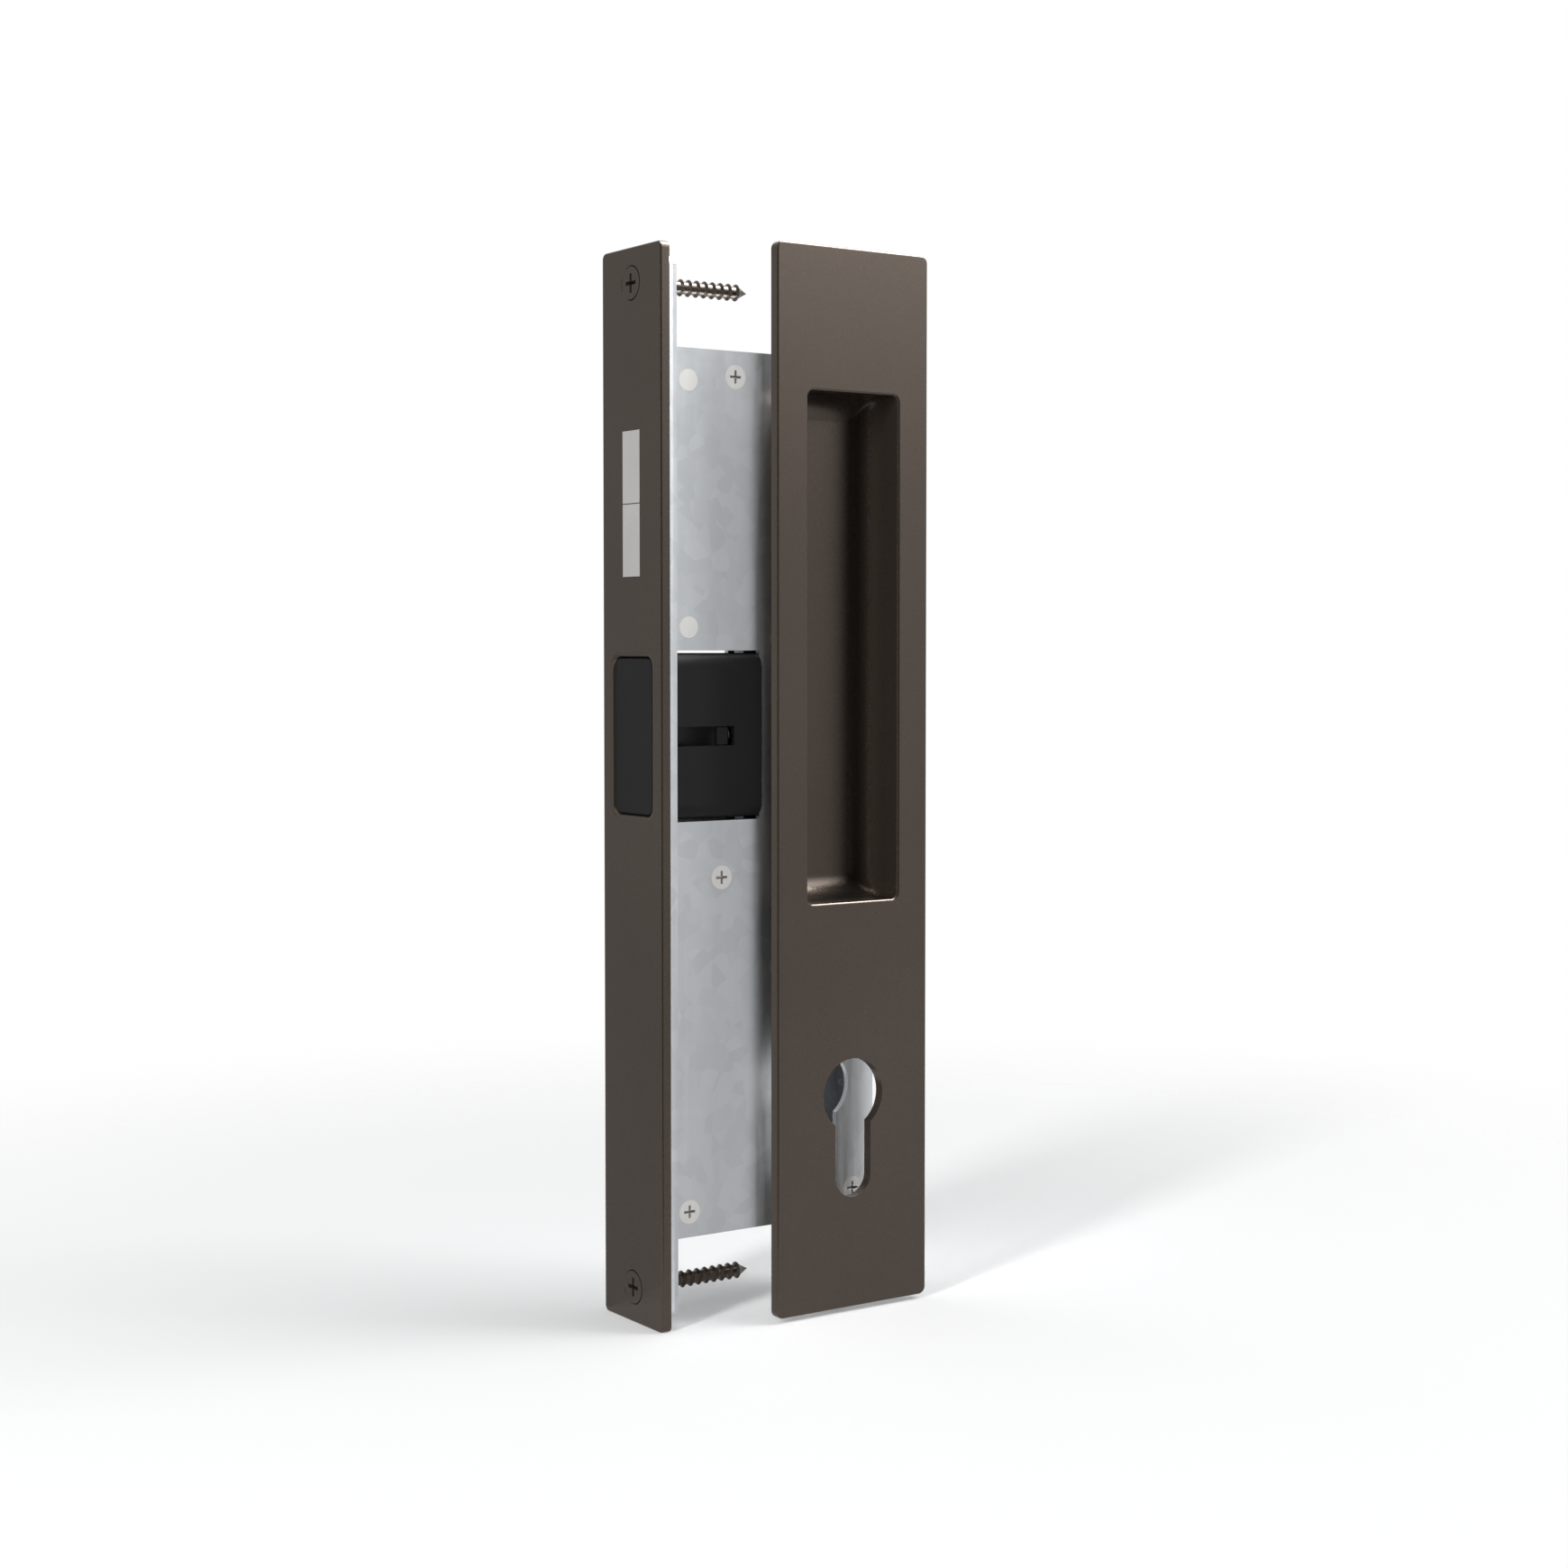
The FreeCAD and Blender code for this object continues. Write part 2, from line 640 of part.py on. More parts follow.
def case_tray():
    body = new_body("case_tray", y=CASE_Y)
    sheet = D.case_sheet
    tall = D.case_thickness - sheet
    pad(body, "XZ_Plane", lambda sketch: rectangle(
        sketch, CASE_X, CASE_BACK, CASE_LOW, CASE_HIGH, D.case_corner), tall)
    pocket(body, "XZ_Plane", lambda sketch: rectangle(
        sketch, CASE_X + sheet, CASE_BACK - sheet,
        CASE_LOW + sheet, CASE_HIGH - sheet), tall - sheet, lift=tall, back=False)
    box_notch(body)
    key_opening(body)
    pin_holes(body)
    for x, z in POSTS:
        pocket(body, "XZ_Plane", lambda sketch, x=x, z=z: disc(sketch, x, z, D.cover_screw_radius))
    front = {"length": sheet + 2 * OVERRUN, "lift": CASE_X - OVERRUN}
    slot_half = SLOT_HALF + D.slot_side_room
    slot_tall = D.slot_height / 2 + D.slot_swing_room
    pocket(body, "YZ_Plane", lambda sketch: rectangle(
        sketch, -slot_half - CASE_Y, slot_half - CASE_Y, SLOT_Z - slot_tall, SLOT_Z + slot_tall), **front)
    for level in RIVET_LEVELS:
        pocket(body, "YZ_Plane", lambda sketch, z=level: disc(sketch, -CASE_Y, z, D.rivet_radius), **front)
    pocket(body, "YZ_Plane", lambda sketch: disc(
        sketch, -CASE_Y, CYLINDER_SCREW_Z, D.cylinder_screw_radius), **front)


def case_cover():
    body = new_body("case_cover", y=D.case_sheet - CASE_Y)
    pad(body, "XZ_Plane", lambda sketch: rectangle(
        sketch, CASE_X, CASE_BACK, CASE_LOW, CASE_HIGH, D.case_corner), D.case_sheet)
    box_notch(body)
    key_opening(body)
    pin_holes(body)
    for x, z in POSTS:
        pocket(body, "XZ_Plane", lambda sketch, x=x, z=z: disc(sketch, x, z, D.cover_screw_radius))
    sinks = [FreeCAD.Vector(x.value, -D.case_sheet.value, z.value) for x, z in POSTS]
    ease(body, "Chamfer", D.cover_screw_head - D.cover_screw_radius, lies_at(
        "Y", -D.case_sheet, lambda point: min(point.distanceToPoint(sink) for sink in sinks) < 0.5))


def posts_and_cover_screws():
    """Posts riveted in the tray, and the countersunk screws that hold the cover to them."""
    bore = D.cover_screw_radius
    head = D.cover_screw_head
    tip = D.cover_screw_length
    taper = D.cover_screw_taper
    height = 2 * INNER_Y
    depth = D.post_bore_depth
    for number, (x, z) in enumerate(POSTS, start=1):
        turned(f"cover_post_{number}", (x, -INNER_Y, z), "Y", [
            (bore, 0), (D.post_radius, 0), (D.post_radius, height), (bore, height),
            (bore, height + D.case_sheet), (0, height + D.case_sheet), (0, depth), (bore, depth)])
        screw = turned(f"cover_screw_{number}", (x, -CASE_Y, z), "Y", [
            (0, 0), (head, 0), (bore, head - bore), (bore, tip - taper), (bore - taper, tip), (0, tip)])
        cross_recess(screw, 0.55 * head, 0.45 * head)


def face_screws():
    """Countersunk wood screws at both ends of the faceplate; the threads are turned ridges."""
    crest = D.face_screw_radius
    root = crest - D.thread_depth
    pitch = D.thread_pitch
    cone = D.face_screw_head - crest
    rim = D.face_screw_rim
    points = [(0, 0), (D.face_screw_head, 0), (D.face_screw_head, rim), (crest, rim + cone),
              (crest, D.thread_start)]
    ridges = int((D.face_screw_length.value - D.thread_start.value) / pitch.value) - 1
    for turn in range(ridges):
        level = D.thread_start + turn * pitch
        points += [(root, level + 0.25 * pitch), (root, level + 0.75 * pitch), (crest, level + pitch)]
    points += [(root, D.thread_start + (ridges + 0.25) * pitch), (0, D.face_screw_length)]
    for name, level in zip(("lower", "upper"), FACE_SCREWS):
        screw = turned(f"face_screw_{name}", (FACE_X, 0, level), "X", points)
        cross_recess(screw, 0.58 * D.face_screw_head, 0.4 * D.face_screw_head)


def cylinder_screw():
    """Long screw that goes through the forend into the profile cylinder."""
    cone = D.cylinder_screw_head - D.cylinder_screw_radius
    length = D.cylinder_screw_tip - FOREND_X
    taper = D.cylinder_screw_taper
    body = turned("cylinder_screw", (FOREND_X, 0, CYLINDER_SCREW_Z), "X", [
        (0, 0), (D.cylinder_screw_head, 0), (D.cylinder_screw_radius, cone),
        (D.cylinder_screw_radius, length - taper), (D.cylinder_screw_radius - taper, length), (0, length)])
    cross_recess(body, 0.6 * D.cylinder_screw_head, 0.4 * D.cylinder_screw_head)


def rivets():
    cone = D.rivet_head - D.rivet_radius
    length = D.forend_thickness + D.case_sheet
    for number, level in enumerate(RIVET_LEVELS, start=1):
        turned(f"forend_rivet_{number}", (FOREND_X, 0, level), "X", [
            (0, 0), (D.rivet_head, 0), (D.rivet_radius, cone), (D.rivet_radius, length), (0, length)])


def guide_pins():
    """Claw pivots and the guide pins of the bar and slide, each with its spacers."""
    full = D.case_thickness
    front = -CASE_Y
    inside = -INNER_Y
    for name, side in SIDES:
        level = SLOT_Z + side * D.claw_pivot_height
        radius = D.claw_pivot_radius
        collar = INNER_Y - CLAW_Y - D.layer_gap
        turned(f"claw_pivot_{name}", (PIVOT_X, front, level), "Y", [
            (0, 0), (radius, 0), (radius, full), (0, full)])
        tube(f"claw_spacer_{name}_front", (PIVOT_X, inside, level), "Y",
             radius, D.claw_collar_radius, collar)
        tube(f"claw_spacer_{name}_back", (PIVOT_X, CLAW_Y + D.layer_gap, level), "Y",
             radius, D.claw_collar_radius, collar)
        level = SLOT_Z + side * D.slide_guide_half
        turned(f"slide_guide_{name}", (SLIDE_GUIDE_X, front, level), "Y", [
            (0, 0), (D.pin_radius, 0), (D.pin_radius, full), (0, full)])
        reach = INNER_Y + SLIDE_Y - D.slide_thickness - D.layer_gap
        tube(f"slide_spacer_{name}", (SLIDE_GUIDE_X, inside, level), "Y",
             D.pin_radius, D.collar_radius, reach)
    collar_low, collar_high = CASE_Y + BAR_Y + D.layer_gap, full - D.case_sheet
    for name, level in BAR_GUIDES:
        turned(f"bar_guide_{name}", (BAR_X, front, level), "Y", [
            (0, 0), (D.pin_radius, 0), (D.pin_radius, collar_low), (D.collar_radius, collar_low),
            (D.collar_radius, collar_high), (D.pin_radius, collar_high), (D.pin_radius, full), (0, full)])
        tube(f"bar_spacer_{name}", (BAR_X, inside, level), "Y",
             D.pin_radius, D.collar_radius, INNER_Y + BAR_FRONT_Y - D.layer_gap)


def drive_bar():
    """Bar lifted by the cylinder's cam; its inclined slot pushes the claw slide outward."""
    body = new_body("drive_bar", y=BAR_Y)
    pin_x, pin_z = SLIDE_PIN_X, SLOT_Z
    far_x, far_z = pin_x - D.slide_travel, pin_z - D.bar_travel
    tilt = math.degrees(math.atan2(D.bar_travel.value, D.slide_travel.value))
    head_low, head_high = far_z - D.head_margin, pin_z + D.head_margin
    corner = D.head_corner
    foot_low, foot_high = D.bar_foot_low, D.bar_foot_high
    pad(body, "XZ_Plane", lambda sketch: outline(
        sketch, (D.bar_foot_left, foot_low), (D.bar_foot_right, foot_low), (D.bar_foot_right, foot_high),
        (BAR_RIGHT, foot_high + D.bar_foot_taper),
        (BAR_RIGHT, head_low - corner), (HEAD_RIGHT, head_low),
        (HEAD_RIGHT - corner, head_high - corner, corner, 0, 90),
        (HEAD_LEFT + corner, head_high - corner, corner, 90, 180),
        (HEAD_LEFT + corner, head_low + corner, corner, 180, 270),
        (BAR_LEFT, head_low), (BAR_LEFT, foot_high + 2 * D.bar_foot_rise),
        (D.bar_foot_left, foot_high + D.bar_foot_rise)), D.bar_thickness)
    radius = DRIVE_SLOT
    pocket(body, "XZ_Plane", lambda sketch: slot(sketch, (far_x, far_z), (pin_x, pin_z), radius, tilt))
    for _, level in BAR_GUIDES:
        pocket(body, "XZ_Plane", lambda sketch, z=level: slot(
            sketch, (BAR_X, z - D.bar_travel), (BAR_X, z), radius, 90))
    for level in BLOCK_RIVETS:
        pocket(body, "XZ_Plane", lambda sketch, z=level: disc(sketch, FOOT_X, z, D.rivet_radius))


def cam_block():
    """Block with the notch that the cylinder's cam works in, riveted on the bar."""
    body = new_body("cam_block", y=BAR_FRONT_Y)
    left, tip = D.bar_foot_left, D.tooth_tip
    low, high = D.bar_foot_low, BLOCK_HIGH
    notch_low = low + D.tooth_thickness
    notch_high = notch_low + D.tooth_pitch
    pad(body, "XZ_Plane", lambda sketch: outline(
        sketch, (left, low), (tip, low), (tip, notch_low), (D.tooth_root, notch_low),
        (D.tooth_root, notch_high), (tip, notch_high), (tip, high), (left, high)), D.block_thickness)
    for first, last in ((low, notch_low), (notch_high, high)):
        pad(body, "XZ_Plane", lambda sketch, first=first, last=last: rectangle(
            sketch, D.bar_foot_right, tip, first, last), D.bar_thickness, back=True)
    length = D.bar_thickness + D.block_thickness
    for number, level in enumerate(BLOCK_RIVETS, start=1):
        pocket(body, "XZ_Plane", lambda sketch, z=level: disc(sketch, FOOT_X, z, D.rivet_radius))
        turned(f"block_rivet_{number}", (FOOT_X, BAR_FRONT_Y - D.block_thickness, level), "Y", [
            (0, 0), (D.rivet_radius, 0), (D.rivet_radius, length), (0, length)])


def claw_slide():
    """Slide that turns both claws: the claws' pins ride in its two short upright slots."""
    body = new_body("claw_slide", y=SLIDE_Y)
    arm, turn = D.claw_pin_arm, D.claw_pin_angle
    gap = D.pin_gap
    near_half = D.claw_pivot_height - arm * sin(turn - D.claw_turn) - gap
    far_half = D.claw_pivot_height - arm * sin(turn) + gap
    half = far_half + D.cam_slot_radius + D.slide_rim
    mouth_half = near_half - D.cam_slot_radius - D.slide_web
    low, high = SLOT_Z - half, SLOT_Z + half
    mouth_x = SLIDE_FRONT + D.slide_mouth_depth
    mouth_low, mouth_high = SLOT_Z - mouth_half, SLOT_Z + mouth_half
    pad(body, "XZ_Plane", lambda sketch: outline(
        sketch, (SLIDE_FRONT, low), (SLIDE_REAR, low), (SLIDE_REAR, high), (SLIDE_FRONT, high),
        (SLIDE_FRONT, mouth_high), (mouth_x, mouth_high), (mouth_x, mouth_low),
        (SLIDE_FRONT, mouth_low)), D.slide_thickness)
    slot_x = PIVOT_X - arm * cos(turn) - D.cam_slot_shift
    for _, side in SIDES:
        near = SLOT_Z + side * near_half
        far = SLOT_Z + side * far_half
        start, stop = (near, far) if side > 0 else (far, near)
        pocket(body, "XZ_Plane", lambda sketch, start=start, stop=stop: slot(
            sketch, (slot_x, start), (slot_x, stop), D.cam_slot_radius, 90))
        z = SLOT_Z + side * D.slide_guide_half
        pocket(body, "XZ_Plane", lambda sketch, z=z: slot(
            sketch, (SLIDE_GUIDE_X, z), (SLIDE_GUIDE_X + D.slide_travel, z), DRIVE_SLOT, 0))
    pocket(body, "XZ_Plane", lambda sketch: disc(sketch, SLIDE_PIN_X, SLOT_Z, D.pin_radius))
    length = SLIDE_Y - BAR_FRONT_Y
    turned("slide_pin", (SLIDE_PIN_X, BAR_FRONT_Y, SLOT_Z), "Y", [
        (0, 0), (D.pin_radius, 0), (D.pin_radius, length), (0, length)])


def claw(name, side):
    """One claw about its own pivot: nose block, hub, and the pin that the slide drives.

    Angles are about the pivot, from the +X side, towards the seam.
    """
    level = SLOT_Z + side * D.claw_pivot_height
    body = new_body(f"claw_{name}", x=PIVOT_X, y=CLAW_Y, z=level)
    depth = PIVOT_X - FACE_X
    seam = D.claw_pivot_height - D.claw_seam_gap
    end = D.claw_pivot_height - D.slot_height / 2 + D.claw_end_gap
    throat_value = math.hypot(depth.value, end.value)
    throat = Size(f"sqrt({depth.text} * {depth.text} + {end.text} * {end.text})", throat_value)
    nose = -180 + math.degrees(math.atan2(end.value, depth.value))
    nose_angle = Size(f"(atan({end.text} / {depth.text}) - 180 deg)", nose)
    front = D.claw_arm_angle - 180
    back = D.claw_back_angle - 180
    hub = D.claw_hub_radius
    out = D.claw_shoulder
    bend = D.claw_shoulder_angle

    def draw(sketch):
        outline(sketch,
                (0, 0, throat, side * nose_angle, side * front),
                (0, 0, hub, side * front, side * (front - D.claw_hub_sweep)),
                (out * cos(bend), -side * (out * sin(bend) + D.claw_shoulder_drop)),
                (0, 0, seam, side * back, side * -90),
                (-depth, -side * seam))

    pad(body, "XZ_Plane", draw, 2 * CLAW_Y)
    pocket(body, "XZ_Plane", lambda sketch: disc(sketch, 0, 0, D.claw_pivot_radius + D.claw_pivot_gap))
    pin_x = -D.claw_pin_arm * cos(D.claw_pin_angle)
    pin_z = -side * D.claw_pin_arm * sin(D.claw_pin_angle)
    pocket(body, "XZ_Plane", lambda sketch: disc(sketch, pin_x, pin_z, D.pin_radius))
    length = CLAW_Y + SLIDE_Y - D.layer_gap
    turned(f"claw_pin_{name}", (PIVOT_X + pin_x, -CLAW_Y, level + pin_z), "Y", [
        (0, 0), (D.pin_radius, 0), (D.pin_radius, length), (0, length)])


def edge_pull():
    """Sliding loop: the finger goes behind its front plate once it has popped out."""
    half_wide = D.grip_width / 2
    half_tall = D.grip_height / 2
    body = new_body("edge_pull", y=half_wide)
    low, high = GRIP_Z - half_tall, GRIP_Z + half_tall
    back_x = GRIP_X + D.grip_depth
    pad(body, "XZ_Plane", lambda sketch: rectangle(sketch, GRIP_X, back_x, low, high), D.grip_width)
    pocket(body, "XZ_Plane", lambda sketch: rectangle(
        sketch, GRIP_X + D.grip_front, back_x - D.grip_back,
        low + D.grip_arm, high - D.grip_arm, D.grip_window_corner))
    ease(body, "Fillet", D.grip_corner, lambda edge: (
        edge.BoundBox.XLength > D.grip_depth.value - 0.01 and edge.BoundBox.ZLength < 0.01
        and abs(edge.CenterOfMass.z - GRIP_Z.value) > half_tall.value - 0.01))
    pocket(body, "YZ_Plane", lambda sketch: disc(
        sketch, -half_wide, GRIP_Z, D.spring_radius + D.spring_wire + D.spring_gap),
        D.spring_pocket, lift=back_x, back=False)
    lug_low, lug_high = GRIP_Z - D.lug_height / 2, GRIP_Z + D.lug_height / 2
    for lift, back in ((0, True), (D.grip_width, False)):
        pad(body, "XZ_Plane", lambda sketch: rectangle(
            sketch, LUG_X, back_x, lug_low, lug_high), D.lug_reach, lift=lift, back=back)
    ease(body, "Fillet", D.grip_front_round, lies_at("X", GRIP_X))


def edge_pull_box():
    """Moulded box behind the faceplate that guides the edge pull and seats its spring."""
    body = new_body("edge_pull_box", x=FOREND_X)
    wide = D.grip_width / 2 + D.grip_gap
    tall = D.grip_height / 2 + D.grip_gap
    wall = D.box_wall
    low, high = GRIP_Z - tall, GRIP_Z + tall
    pad(body, "YZ_Plane", lambda sketch: rectangle(
        sketch, -wide - wall, wide + wall, low - wall, high + wall, BOX_CORNER), D.box_depth)
    pocket(body, "YZ_Plane", lambda sketch: rectangle(
        sketch, -wide, wide, low, high, D.grip_corner + D.grip_gap), D.box_depth - D.box_back_wall)
    lane = D.lug_height / 2 + D.lug_gap
    pocket(body, "YZ_Plane", lambda sketch: rectangle(
        sketch, -wide - wall - OVERRUN, wide + wall + OVERRUN, GRIP_Z - lane, GRIP_Z + lane),
        GRIP_X + D.grip_depth + D.grip_push + D.lug_gap - FOREND_X)
    pad(body, "YZ_Plane", lambda sketch: disc(
        sketch, 0, GRIP_Z, D.spring_radius - D.spring_wire - D.spring_gap), D.spring_peg,
        lift=D.box_depth - D.box_back_wall, back=True)


def edge_pull_spring():
    """Compression coil behind the edge pull, as one round wire on a helix along X."""
    radius, wire_radius = D.spring_radius.value, D.spring_wire.value
    start = (GRIP_X + D.grip_depth - D.spring_pocket + D.spring_end_gap).value + wire_radius
    stop = (BOX_BACK_X - D.box_back_wall - D.spring_end_gap).value - wire_radius
    length = stop - start
    helix = Part.makeHelix(length / D.spring_turns.value, length, radius)
    wire = Part.Wire(helix.Edges)
    circle = Part.Circle(FreeCAD.Vector(radius, 0, 0), FreeCAD.Vector(0, 1, 0), wire_radius)
    section = Part.Wire([circle.toShape()])
    coil = wire.makePipeShell([section], True, True)
    body = doc.addObject("Part::Feature", "edge_pull_spring")
    body.Label = "edge_pull_spring"
    body.Shape = coil
    body.Placement = FreeCAD.Placement(FreeCAD.Vector(start, 0, GRIP_Z.value),
                                       FreeCAD.Rotation(FreeCAD.Vector(0, 1, 0), 90))


pull_plate()
faceplate()
forend()
case_tray()
case_cover()
posts_and_cover_screws()
face_screws()
cylinder_screw()
rivets()
guide_pins()
drive_bar()
cam_block()
claw_slide()
for claw_name, claw_side in SIDES:
    claw(claw_name, claw_side)
edge_pull()
edge_pull_box()
edge_pull_spring()
doc.recompute()

pieces = [part for part in doc.Objects if part.Label != "cup_cavity"
          and (part.TypeId == "PartDesign::Body" or part.Label == "edge_pull_spring")]
for part in doc.Objects:
    if "Invalid" in part.State or "Error" in part.State:
        raise RuntimeError(f"{part.Label}: {part.State}")
for piece in pieces:
    if piece.Shape.isNull() or not piece.Shape.isValid() or len(piece.Shape.Solids) != 1:
        raise RuntimeError(f"{piece.Label}: not one valid solid")

os.makedirs("parts", exist_ok=True)
for piece in pieces:
    piece.Shape.exportStep(f"parts/{piece.Label}.step")
print(f"{len(pieces)} pieces")
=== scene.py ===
"""Looks of the flush pull lock set: satin bronze plates, black moulded edge pull, plated steel lock case."""
import json
import math

import bpy
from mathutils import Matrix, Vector


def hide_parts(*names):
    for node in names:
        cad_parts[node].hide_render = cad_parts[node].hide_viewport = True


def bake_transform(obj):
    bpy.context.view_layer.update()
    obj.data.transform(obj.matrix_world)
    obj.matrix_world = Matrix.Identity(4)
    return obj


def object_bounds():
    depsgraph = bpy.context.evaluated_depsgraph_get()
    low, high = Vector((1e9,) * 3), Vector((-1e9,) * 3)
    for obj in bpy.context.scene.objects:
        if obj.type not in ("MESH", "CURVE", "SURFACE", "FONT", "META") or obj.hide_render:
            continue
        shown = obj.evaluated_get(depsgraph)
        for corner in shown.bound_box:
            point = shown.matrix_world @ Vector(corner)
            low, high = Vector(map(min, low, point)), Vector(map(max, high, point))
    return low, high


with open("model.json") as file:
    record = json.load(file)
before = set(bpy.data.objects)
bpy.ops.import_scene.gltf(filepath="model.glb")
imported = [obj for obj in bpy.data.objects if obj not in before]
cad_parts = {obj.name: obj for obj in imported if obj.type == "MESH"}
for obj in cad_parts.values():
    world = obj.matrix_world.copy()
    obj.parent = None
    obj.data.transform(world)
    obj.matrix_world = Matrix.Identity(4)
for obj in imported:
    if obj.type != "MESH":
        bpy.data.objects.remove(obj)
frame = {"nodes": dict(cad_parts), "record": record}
nodes = frame["nodes"]
cad_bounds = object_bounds()

# Camera, from the photograph's perspective
# Its place is in metres, its angles in degrees, its sensor and lens in millimetres
CAMERA_AT = (-0.34786, -0.50050, 0.10592)
CAMERA_YAW = 34.40
CAMERA_DIP = 2.40
CAMERA_SENSOR = 36.0
CAMERA_LENS = 57.66
CAMERA_SHIFT = -0.02
CAMERA_NEAREST = 0.01

# Linear colours
BRONZE = (0.067, 0.052, 0.0415)
BLACK = (0.0045, 0.0045, 0.0048)
STEEL = (0.82, 0.81, 0.79)
ZINC = (0.62, 0.64, 0.66)
CAST = (0.48, 0.48, 0.49)
WIRE = (0.40, 0.40, 0.41)
WHITE = (1.0, 1.0, 1.0)
SKY = (0.96, 0.98, 1.0)
FLOOR_GREY = (0.80, 0.80, 0.80)

# A noise texture's values lie mostly between these
NOISE_LOW, NOISE_HIGH = 0.3, 0.7

# Point that the lamps and screens face
MIDDLE = (0.0, 0.0, 0.075)

# Floor, in metres from the cylinder's axis: its half width, and where it fades out
FLOOR_REACH = 0.9
FADE_START, FADE_END = 0.06, 0.45

# Glow that lifts the floor to white where it shows
FLOOR_GLOW = 0.17

# Strength of the white world as a source of light
SKY_LIGHT = 0.32

# Height of a lying screen above the floor
SCREEN_LIFT = 0.001


def shade(value, colour):
    """Colour with its brightness changed, as a shader takes it."""
    return tuple(value * part for part in colour) + (1.0,)


class Nodes:
    """Builds one material's node tree. An underscore in an input's name stands for a space."""

    def __init__(self, name):
        self.material = bpy.data.materials.new(name)
        self.material.use_nodes = True
        self.tree = self.material.node_tree
        self.tree.nodes.clear()
        self.output = self.add("ShaderNodeOutputMaterial")
        self.place = self.add("ShaderNodeTexCoord").outputs["Object"]

    def add(self, kind, **inputs):
        """New node, with these of its inputs set."""
        node = self.tree.nodes.new(kind)
        for name, value in inputs.items():
            self.set(node.inputs[name.replace("_", " ")], value)
        return node

    def set(self, socket, value):
        """Links another node's output to the socket, or gives it a constant."""
        if isinstance(value, bpy.types.NodeSocket):
            self.tree.links.new(value, socket)
        else:
            socket.default_value = value

    def stretched(self, scale):
        """Object coordinates scaled along each axis."""
        mapping = self.add("ShaderNodeMapping", Vector=self.place)
        mapping.inputs["Scale"].default_value = scale
        return mapping.outputs["Vector"]

    def noise(self, scale, detail=3.0, roughness=0.5, stretch=None):
        """Noise with about this many spots to the metre, drawn out along an axis whose stretch is below 1."""
        place = self.stretched(stretch) if stretch else self.place
        node = self.add("ShaderNodeTexNoise", Vector=place, Scale=scale, Detail=detail, Roughness=roughness)
        return node.outputs["Fac"]

    def ramp(self, factor, low, high, first=NOISE_LOW, last=NOISE_HIGH):
        """Colour that goes from low to high while the factor goes from first to last."""
        node = self.add("ShaderNodeValToRGB", Fac=factor)
        stops = node.color_ramp.elements
        stops[0].position, stops[1].position = first, last
        stops[0].color, stops[1].color = low, high
        return node.outputs["Color"]

    def span(self, factor, low, high):
        """A noise's value carried over to the range from low to high."""
        node = self.add("ShaderNodeMapRange", Value=factor)
        node.inputs["From Min"].default_value = NOISE_LOW
        node.inputs["From Max"].default_value = NOISE_HIGH
        node.inputs["To Min"].default_value = low
        node.inputs["To Max"].default_value = high
        return node.outputs["Result"]

    def bump(self, height, strength, distance, normal=None):
        """Normal of a surface raised by height, on top of another bump where one is given."""
        node = self.add("ShaderNodeBump", Height=height, Strength=strength, Distance=distance)
        if normal is not None:
            self.set(node.inputs["Normal"], normal)
        return node.outputs["Normal"]

    def surface(self, colour, metallic, roughness, normal, **more):
        """The finished material, with a principled shader."""
        shader = self.add("ShaderNodeBsdfPrincipled")
        self.set(shader.inputs["Base Color"], colour)
        shader.inputs["Metallic"].default_value = metallic
        self.set(shader.inputs["Roughness"], roughness)
        self.set(shader.inputs["Normal"], normal)
        for name, value in more.items():
            shader.inputs[name.replace("_", " ")].default_value = value
        self.set(self.output.inputs["Surface"], shader.outputs["BSDF"])
        return self.material


def satin_bronze():
    """Fine bead-blasted and tinted metal: an even speckle with faint cloudy tone."""
    m = Nodes("satin_bronze")
    cloud = m.noise(scale=22.0, detail=4.0, roughness=0.55)
    speckle = m.noise(scale=5200.0, detail=2.0, roughness=0.6)
    ripple = m.noise(scale=900.0)
    colour = m.ramp(cloud, shade(0.95, BRONZE), shade(1.06, BRONZE))
    normal = m.bump(speckle, strength=0.10, distance=0.00004)
    normal = m.bump(ripple, strength=0.06, distance=0.00006, normal=normal)
    return m.surface(colour, metallic=0.7, roughness=m.span(speckle, 0.26, 0.33), normal=normal)


def black_moulding():
    """Matt moulded plastic with a spark-eroded grain."""
    m = Nodes("black_moulding")
    grain = m.add("ShaderNodeTexVoronoi", Vector=m.place, Scale=2600.0).outputs["Distance"]
    cloud = m.noise(scale=60.0)
    colour = m.ramp(cloud, shade(0.92, BLACK), shade(1.12, BLACK))
    normal = m.bump(grain, strength=0.25, distance=0.00005)
    roughness = m.span(cloud, 0.52, 0.60)
    return m.surface(colour, metallic=0.0, roughness=roughness, normal=normal, Specular_IOR_Level=0.25)


def ground_steel():
    """Nickel-plated steel ground along its height, with fine lines."""
    m = Nodes("bright_steel")
    lines = m.noise(scale=900.0, roughness=0.6, stretch=(1.0, 1.0, 0.04))
    cloud = m.noise(scale=60.0)
    colour = m.ramp(cloud, shade(0.95, STEEL), shade(1.04, STEEL))
    normal = m.bump(lines, strength=0.12, distance=0.00004)
    return m.surface(colour, metallic=1.0, roughness=m.span(lines, 0.34, 0.46), normal=normal)


